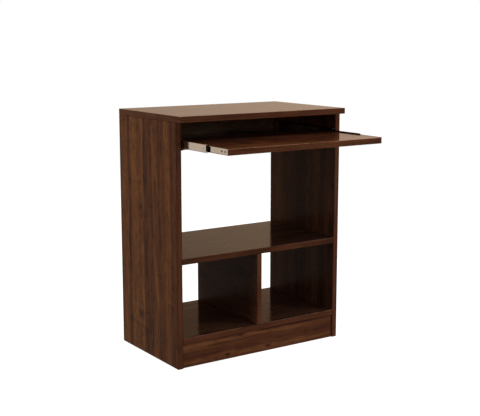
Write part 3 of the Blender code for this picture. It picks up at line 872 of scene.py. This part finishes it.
for side, word in SIDES:
    for offset, place in ((28.0, "front"), (252.0, "rear")):
        node = f"{word}_cabinet_screw_{place}"
        spot = (slide_x(side, 1.6), CABINET_FRONT + offset * MM, SLIDE_Z)
        turn = Vector((0.0, math.cos(0.4 + offset), math.sin(0.4 + offset)))
        screw = copy_of(PAN, f"{node}_fine", axes(spot, turn, (side, 0, 0)))
        hand_in(screw, node, SHADED_ZINC)
    for offset, place in ((12.0, "front"), (265.0, "rear")):
        node = f"{word}_tray_screw_{place}"
        spot = (slide_x(side, 9.1), DRAWER_FRONT + offset * MM, SLIDE_Z)
        turn = Vector((0.0, math.cos(0.9 + offset), math.sin(0.9 + offset)))
        screw = copy_of(PAN, f"{node}_fine", axes(spot, turn, (-side, 0, 0)))
        hand_in(screw, node, PASSIVATED)
for place, y in (("front", 0.0092), ("rear", 0.2238)):
    node = f"divider_screw_{place}"
    screw = copy_of(COUNTERSUNK, f"{node}_fine", axes((-0.0086, y, 0.0762), (0.8, 0.6, 0), (0, 0, 1)))
    hand_in(screw, node, ZINC)

# cam locks: a dished face with a cross slot and an arrow, a cup that opens to the bolt
CAM = pattern(
    "cam_lock",
    turned(
        [(0.95 * MM, 0.0), (0.95 * MM, 5.1 * MM), (0.62 * MM, 5.45 * MM), (0.42 * MM, 5.6 * MM), (0.40 * MM, 6.75 * MM),
         (0.52 * MM, 7.08 * MM), (0.80 * MM, 7.28 * MM), (12.2 * MM, 7.28 * MM), (12.2 * MM, 0.0)],
        40,
    ),
    [
        bar(7.4 * MM, 1.25 * MM, -0.5 * MM, 3.2 * MM, 0.62),
        bar(7.4 * MM, 1.25 * MM, -0.5 * MM, 3.2 * MM, 0.62, math.pi / 2),
        prism(
            [(-6.45 * MM, 0.0), (-5.65 * MM, -0.75 * MM), (-5.65 * MM, 0.75 * MM)], 0.0, 0.85 * MM, lambda x, y, z: (x, y, z)
        ),
        prism(
            [(x * MM, y * MM) for x, y in disc(0.0, 0.0, 4.7, 20)], 5.2 * MM, 14.2 * MM, lambda x, y, z: (x, y, z)
        ),
        prism(
            [(-12.0 * MM, -3.1 * MM), (-1.0 * MM, -3.1 * MM), (-1.0 * MM, 3.1 * MM), (-12.0 * MM, 3.1 * MM)],
            5.7 * MM, 13.5 * MM, lambda x, y, z: (x, y, z),
        ),
    ],
)
for side, word in SIDES:
    for y, place in ((-0.0108, "front"), (0.2438, "rear")):
        for label, mouth, run, face in (
            ("top", (side * INNER_X, y, 0.71985), (0, 0, -1), (-side, 0, 0)),
            ("shelf", (side * (INNER_X - 0.02415), y, 0.3202), (-side, 0, 0), (0, 0, -1)),
            ("bottom", (side * (INNER_X - 0.02415), y, 0.0762), (-side, 0, 0), (0, 0, -1)),
        ):
            node = f"{label}_cam_{word}_{place}"
            cam = copy_of(CAM, f"{node}_fine", axes(mouth, run, -Vector(face)))
            hand_in(cam, node, SHADED_DIECAST)

# slide members, cages and levers
for side, word in SIDES:
    # cabinet member: rolled flanges, screw holes and long slots
    node = f"{word}_slide_cabinet_member"
    member = new_piece(
        f"{node}_fine",
        rolled(
            side,
            ((8.4, -13.4), (8.4, -16.9), (0.9, -16.9), (0.9, 16.9), (8.4, 16.9), (8.4, 13.4)),
            2.0, 1.2, CABINET_FRONT, SLIDE_LENGTH,
        ),
    )
    for shape in (
        [disc(a, 0.0, 2.1) for a in (28.0, 124.0, 252.0)]
        + [rounded((a - 8.0, -2.2), (a + 8.0, 2.2), 2.15) for a in (74.0, 196.0)]
        + [disc(288.0, 8.0, 1.6), disc(288.0, -8.0, 1.6)]
    ):
        carve(member, through(side, shape, -1.0, 3.0, CABINET_FRONT))
    hand_in(member, node, SHADED_ZINC)

    # intermediate member: plain web with round holes, a stop lip at its lower front corner
    node = f"{word}_slide_intermediate_member"
    member = new_piece(
        f"{node}_fine",
        rolled(side, ((8.7, -11.55), (4.5, -11.55), (4.5, 11.55), (8.7, 11.55)), 1.6, 1.0, MIDDLE_FRONT, SLIDE_LENGTH),
    )
    for shape in [disc(a, 0.0, r) for a, r in ((14.0, 1.4), (160.0, 2.2), (286.0, 2.2))] + [
        rounded((225.0, -2.0), (245.0, 2.0), 1.95), notch(0.0, 12.05, 1, -1, 2.5), notch(300.0, 12.05, -1, -1, 2.0),
        notch(300.0, -12.05, -1, 1, 2.0),
    ]:
        carve(member, through(side, shape, 2.5, 10.0, MIDDLE_FRONT))
    lip = prism(
        [(-2.5, -12.05), (5.5, -12.05), (5.5, -11.1), (-1.7, -11.1)], 4.3, 8.7,
        lambda a, v, u: (slide_x(side, u), MIDDLE_FRONT + a * MM, SLIDE_Z + v * MM),
    )
    carve(member, lip, "UNION")
    hand_in(member, node, ZINC)

    # drawer member: its web runs past the flanges in front and has round corners
    node = f"{word}_slide_drawer_member"
    member = new_piece(
        f"{node}_fine",
        rolled(side, ((6.6, -8.5), (9.7, -8.5), (9.7, 8.5), (6.6, 8.5)), 1.5, 1.0, DRAWER_FRONT, SLIDE_LENGTH),
    )
    for shape in (
        [disc(a, 0.0, 2.1) for a in (12.0, 265.0, 288.0)]
        + [rounded((24.4, -2.5), (32.6, 2.5), 2.45)]
        + [rounded((176.0, -2.0), (192.0, 2.0), 1.95)]
        + [notch(0.0, 9.0, 1, -1, 2.6), notch(0.0, -9.0, 1, 1, 2.6)]
        + [notch(300.0, 9.0, -1, -1, 2.6), notch(300.0, -9.0, -1, 1, 2.6)]
    ):
        carve(member, through(side, shape, 5.0, 12.0, DRAWER_FRONT))
    pin = prism(
        [(LEVER_PIVOT / MM + a, v) for a, v in disc(0.0, 0.0, 1.2, 20)], 6.0, 9.6,
        lambda a, v, u: (slide_x(side, u), DRAWER_FRONT + a * MM, SLIDE_Z + v * MM),
    )
    carve(member, pin, "UNION")
    hand_in(member, node, ZINC)

    # release lever: grooved thumb plate, arm, eye on the pin and a leaf spring
    node = f"{word}_release_lever"
    start = LEVER_START / MM

    def lever_part(shape, low, high):
        return prism(
            [(start + a, v) for a, v in shape], low, high,
            lambda a, v, u: (slide_x(side, u), DRAWER_FRONT + a * MM, SLIDE_Z + v * MM),
        )

    eye = LEVER_PIVOT / MM - start
    lever = new_piece(f"{node}_fine", lever_part(rounded((0.0, -9.2), (10.3, 9.2), 1.6), 5.3, 6.3))
    arm = [(0.8, -5.0), (7.2, -5.0), (11.5, -3.0), (eye, -2.6), (eye, 2.6), (11.5, 3.0), (7.2, 5.0), (0.8, 5.0)]
    carve(lever, lever_part(arm, 5.9, 8.7), "UNION")
    carve(lever, lever_part(disc(eye, 0.0, 3.4, 28), 5.75, 8.85), "UNION")
    leaf = [(6.2, 3.6), (7.2, 4.8), (13.0, 6.5), (22.0, 7.1), (22.2, 7.6), (12.7, 7.3), (6.2, 4.9)]
    carve(lever, lever_part(leaf, 6.7, 8.5), "UNION")
    carve(lever, lever_part(disc(eye, 0.0, 1.5, 24), 5.0, 10.0))
    soften(lever, 0.18 * MM)
    for a in (1.3, 3.5, 5.7, 7.9):
        carve(lever, lever_part(rounded((a, -7.0), (a + 1.1, 7.0), 0.5), 5.0, 5.62))
    hand_in(lever, node, BLACK)

    # ball cages: folded strips with two rows of balls
    for node, path, radius, thickness, front, ball_u, ball_v, ball_r in (
        (
            f"{word}_outer_ball_cage", ((7.5, -14.17), (3.5, -14.17), (3.5, 14.17), (7.5, 14.17)),
            0.9, 0.4, -0.0258, 5.65, 14.17, 1.85,
        ),
        (
            f"{word}_inner_ball_cage", ((8.5, -10.02), (5.4, -10.02), (5.4, 10.02), (8.5, 10.02)),
            0.6, 0.3, -0.1158, 7.4, 10.02, 0.8,
        ),
    ):
        cage = new_piece(f"{node}_fine", rolled(side, path, radius, thickness, front, 0.100))
        carve(
            cage,
            prism(
                rounded((18.0, -6.0), (82.0, 6.0), 3.0), ball_u - 3.5, ball_u - 1.0,
                lambda a, v, u: (slide_x(side, u), front + a * MM, SLIDE_Z + v * MM),
            ),
        )
        balls = bmesh.new()
        for row in (-1, 1):
            for i in range(9):
                bmesh.ops.create_uvsphere(
                    balls, u_segments=16, v_segments=10, radius=ball_r * MM,
                    matrix=Matrix.Translation(
                        (slide_x(side, ball_u), front + (6.0 + 11.0 * i) * MM, SLIDE_Z + row * ball_v * MM)
                    ),
                )
        carve(cage, balls, "UNION")
        hand_in(cage, node, SHADED_ZINC)


# ------------------------------------------------------------------ floor, light, camera
def floor():
    """A wide pale disc under the desk."""
    bm = bmesh.new()
    bmesh.ops.create_circle(bm, cap_ends=True, cap_tris=False, segments=96, radius=9.0)
    mesh = bpy.data.meshes.new("floor")
    bm.to_mesh(mesh)
    bm.free()
    made = bpy.data.objects.new("floor", mesh)
    scene.collection.objects.link(made)
    made.location = (0.0, 0.0, -0.0006)
    finish = bpy.data.materials.new("pale_floor")
    finish.use_nodes = True
    finish.node_tree.nodes.clear()
    t = Tree(finish.node_tree)
    matt = t.node("ShaderNodeBsdfDiffuse")
    matt.inputs["Color"].default_value = (0.42, 0.42, 0.43, 1.0)
    lit = t.node("ShaderNodeEmission")
    lit.inputs["Color"].default_value = (0.985, 0.995, 1.0, 1.0)
    lit.inputs["Strength"].default_value = 0.93
    both = t.node("ShaderNodeAddShader")
    out = t.node("ShaderNodeOutputMaterial")
    links = finish.node_tree.links
    links.new(matt.outputs[0], both.inputs[0])
    links.new(lit.outputs[0], both.inputs[1])
    links.new(both.outputs[0], out.inputs["Surface"])
    mesh.materials.append(finish)
    made.visible_diffuse = False
    made.visible_glossy = False
    return made


floor()

world = bpy.data.worlds.new("studio")
scene.world = world
world.use_nodes = True
world.node_tree.nodes.clear()
t = Tree(world.node_tree)
towards = t.separate(t.node("ShaderNodeTexCoord").outputs["Generated"])
height = t.span(towards[2], -1.0, 1.0, 0.0, 1.0)
mirrored = t.ramp(
    height,
    [
        (0.0, (0.30, 0.26, 0.22)),
        (0.44, (0.50, 0.42, 0.352)),
        (0.515, (0.53, 0.404, 0.310)),
        (0.5335, (0.555, 0.414, 0.310)),
        (0.5400, (0.570, 0.424, 0.312)),
        (0.5440, (0.630, 0.458, 0.334)),
        (0.5490, (0.860, 0.625, 0.449)),
        (0.5520, (1.00, 0.727, 0.522)),
        (0.5600, (0.92, 0.667, 0.477)),
        (0.576, (0.74, 0.514, 0.352)),
        (0.594, (0.31, 0.212, 0.142)),
        (0.612, (0.92, 0.600, 0.390)),
        (0.623, (0.62, 0.376, 0.234)),
        (0.634, (0.56, 0.324, 0.195)),
        (0.648, (0.33, 0.175, 0.108)),
        (1.0, (0.34, 0.27, 0.21)),
    ],
)
# the room is brighter towards the right, low down and again higher up
low = t.mul(t.step(height, 0.515, 0.530), t.sub(1.0, t.step(height, 0.544, 0.551)))
sideways = t.mix(low, 1.0, t.span(towards[0], 0.47, 0.61, 0.77, 1.10))
upper = t.mul(t.step(height, 0.575, 0.592), t.sub(1.0, t.step(height, 0.660, 0.700)))
sideways = t.mix(upper, sideways, t.span(towards[0], 0.47, 0.57, 0.84, 1.12))
mirrored = t.blend(1.0, mirrored, t.grey(sideways), "MULTIPLY")
ambient = t.ramp(height, [(0.0, (0.125, 0.110, 0.095)), (0.5, (0.160, 0.138, 0.120)), (1.0, (0.225, 0.20, 0.18))])
ray = t.node("ShaderNodeLightPath").outputs
room = t.node("ShaderNodeBackground")
t.put(room.inputs["Color"], t.blend(ray["Is Glossy Ray"], ambient, mirrored))
room.inputs["Strength"].default_value = 1.0
paper = t.node("ShaderNodeBackground")
paper.inputs["Color"].default_value = (1.0, 1.0, 1.0, 1.0)
paper.inputs["Strength"].default_value = 1.0
choose = t.node("ShaderNodeMixShader")
t.put(choose.inputs[0], ray["Is Camera Ray"])
world.node_tree.links.new(room.outputs[0], choose.inputs[1])
world.node_tree.links.new(paper.outputs[0], choose.inputs[2])
world.node_tree.links.new(choose.outputs[0], t.node("ShaderNodeOutputWorld").inputs["Surface"])


def softbox(name, place, target, size, power, colour=(1.0, 1.0, 1.0), flagged=()):
    """A soft area light; the flagged nodes are kept out of it."""
    data = bpy.data.lights.new(name, "AREA")
    data.shape = "RECTANGLE"
    data.size, data.size_y = size
    data.energy = power
    data.color = colour
    made = bpy.data.objects.new(name, data)
    scene.collection.objects.link(made)
    made.location = place
    made.rotation_euler = (Vector(target) - Vector(place)).to_track_quat("-Z", "Y").to_euler()
    made.visible_camera = False
    made.visible_glossy = False
    if flagged:
        shade = bpy.data.collections.new(f"{name}_flags")
        for node in flagged:
            shade.objects.link(nodes[node])
        for entry in shade.collection_objects:
            entry.light_linking.link_state = "EXCLUDE"
        made.light_linking.receiver_collection = shade
    return made


WARM = (1.0, 0.97, 0.94)
softbox("left", (-2.5, 0.05, 1.15), (-0.3, 0.10, 0.42), (1.0, 1.5), 31.0, (1.0, 0.965, 0.90))
softbox("front", (2.42, -2.43, 1.69), (0.0, -0.1, 0.40), (0.8, 0.8), 20.0, WARM, ("middle_shelf",))
softbox("low", (0.40, -2.7, 0.17), (0.0, -0.1, 0.35), (2.0, 0.32), 25.5, WARM, ("back_rail",))
softbox("over", (1.3, -0.1, 2.90), (0.0, -0.1, 0.70), (1.3, 1.3), 30.0, WARM)
softbox("rear", (2.3, 2.6, 1.70), (0.0, 0.2, 0.40), (1.4, 1.4), 12.0, WARM)

camera = bpy.data.objects.new("camera", bpy.data.cameras.new("camera"))
scene.collection.objects.link(camera)
camera.location = (-1.740116, -2.527045, 0.997652)
camera.rotation_euler = (math.radians(79.98), 0.0, math.radians(-33.919))
camera.data.sensor_fit = "HORIZONTAL"
camera.data.sensor_width = 36.0
camera.data.lens = 74.356
camera.data.clip_start = 0.05
camera.data.clip_end = 60.0
scene.camera = camera

scene.view_settings.view_transform = "Standard"
scene.view_settings.look = "None"
scene.view_settings.exposure = 0.0
scene.view_settings.gamma = 1.0

# ------------------------------------------------------------------ final update
bpy.context.view_layer.update()
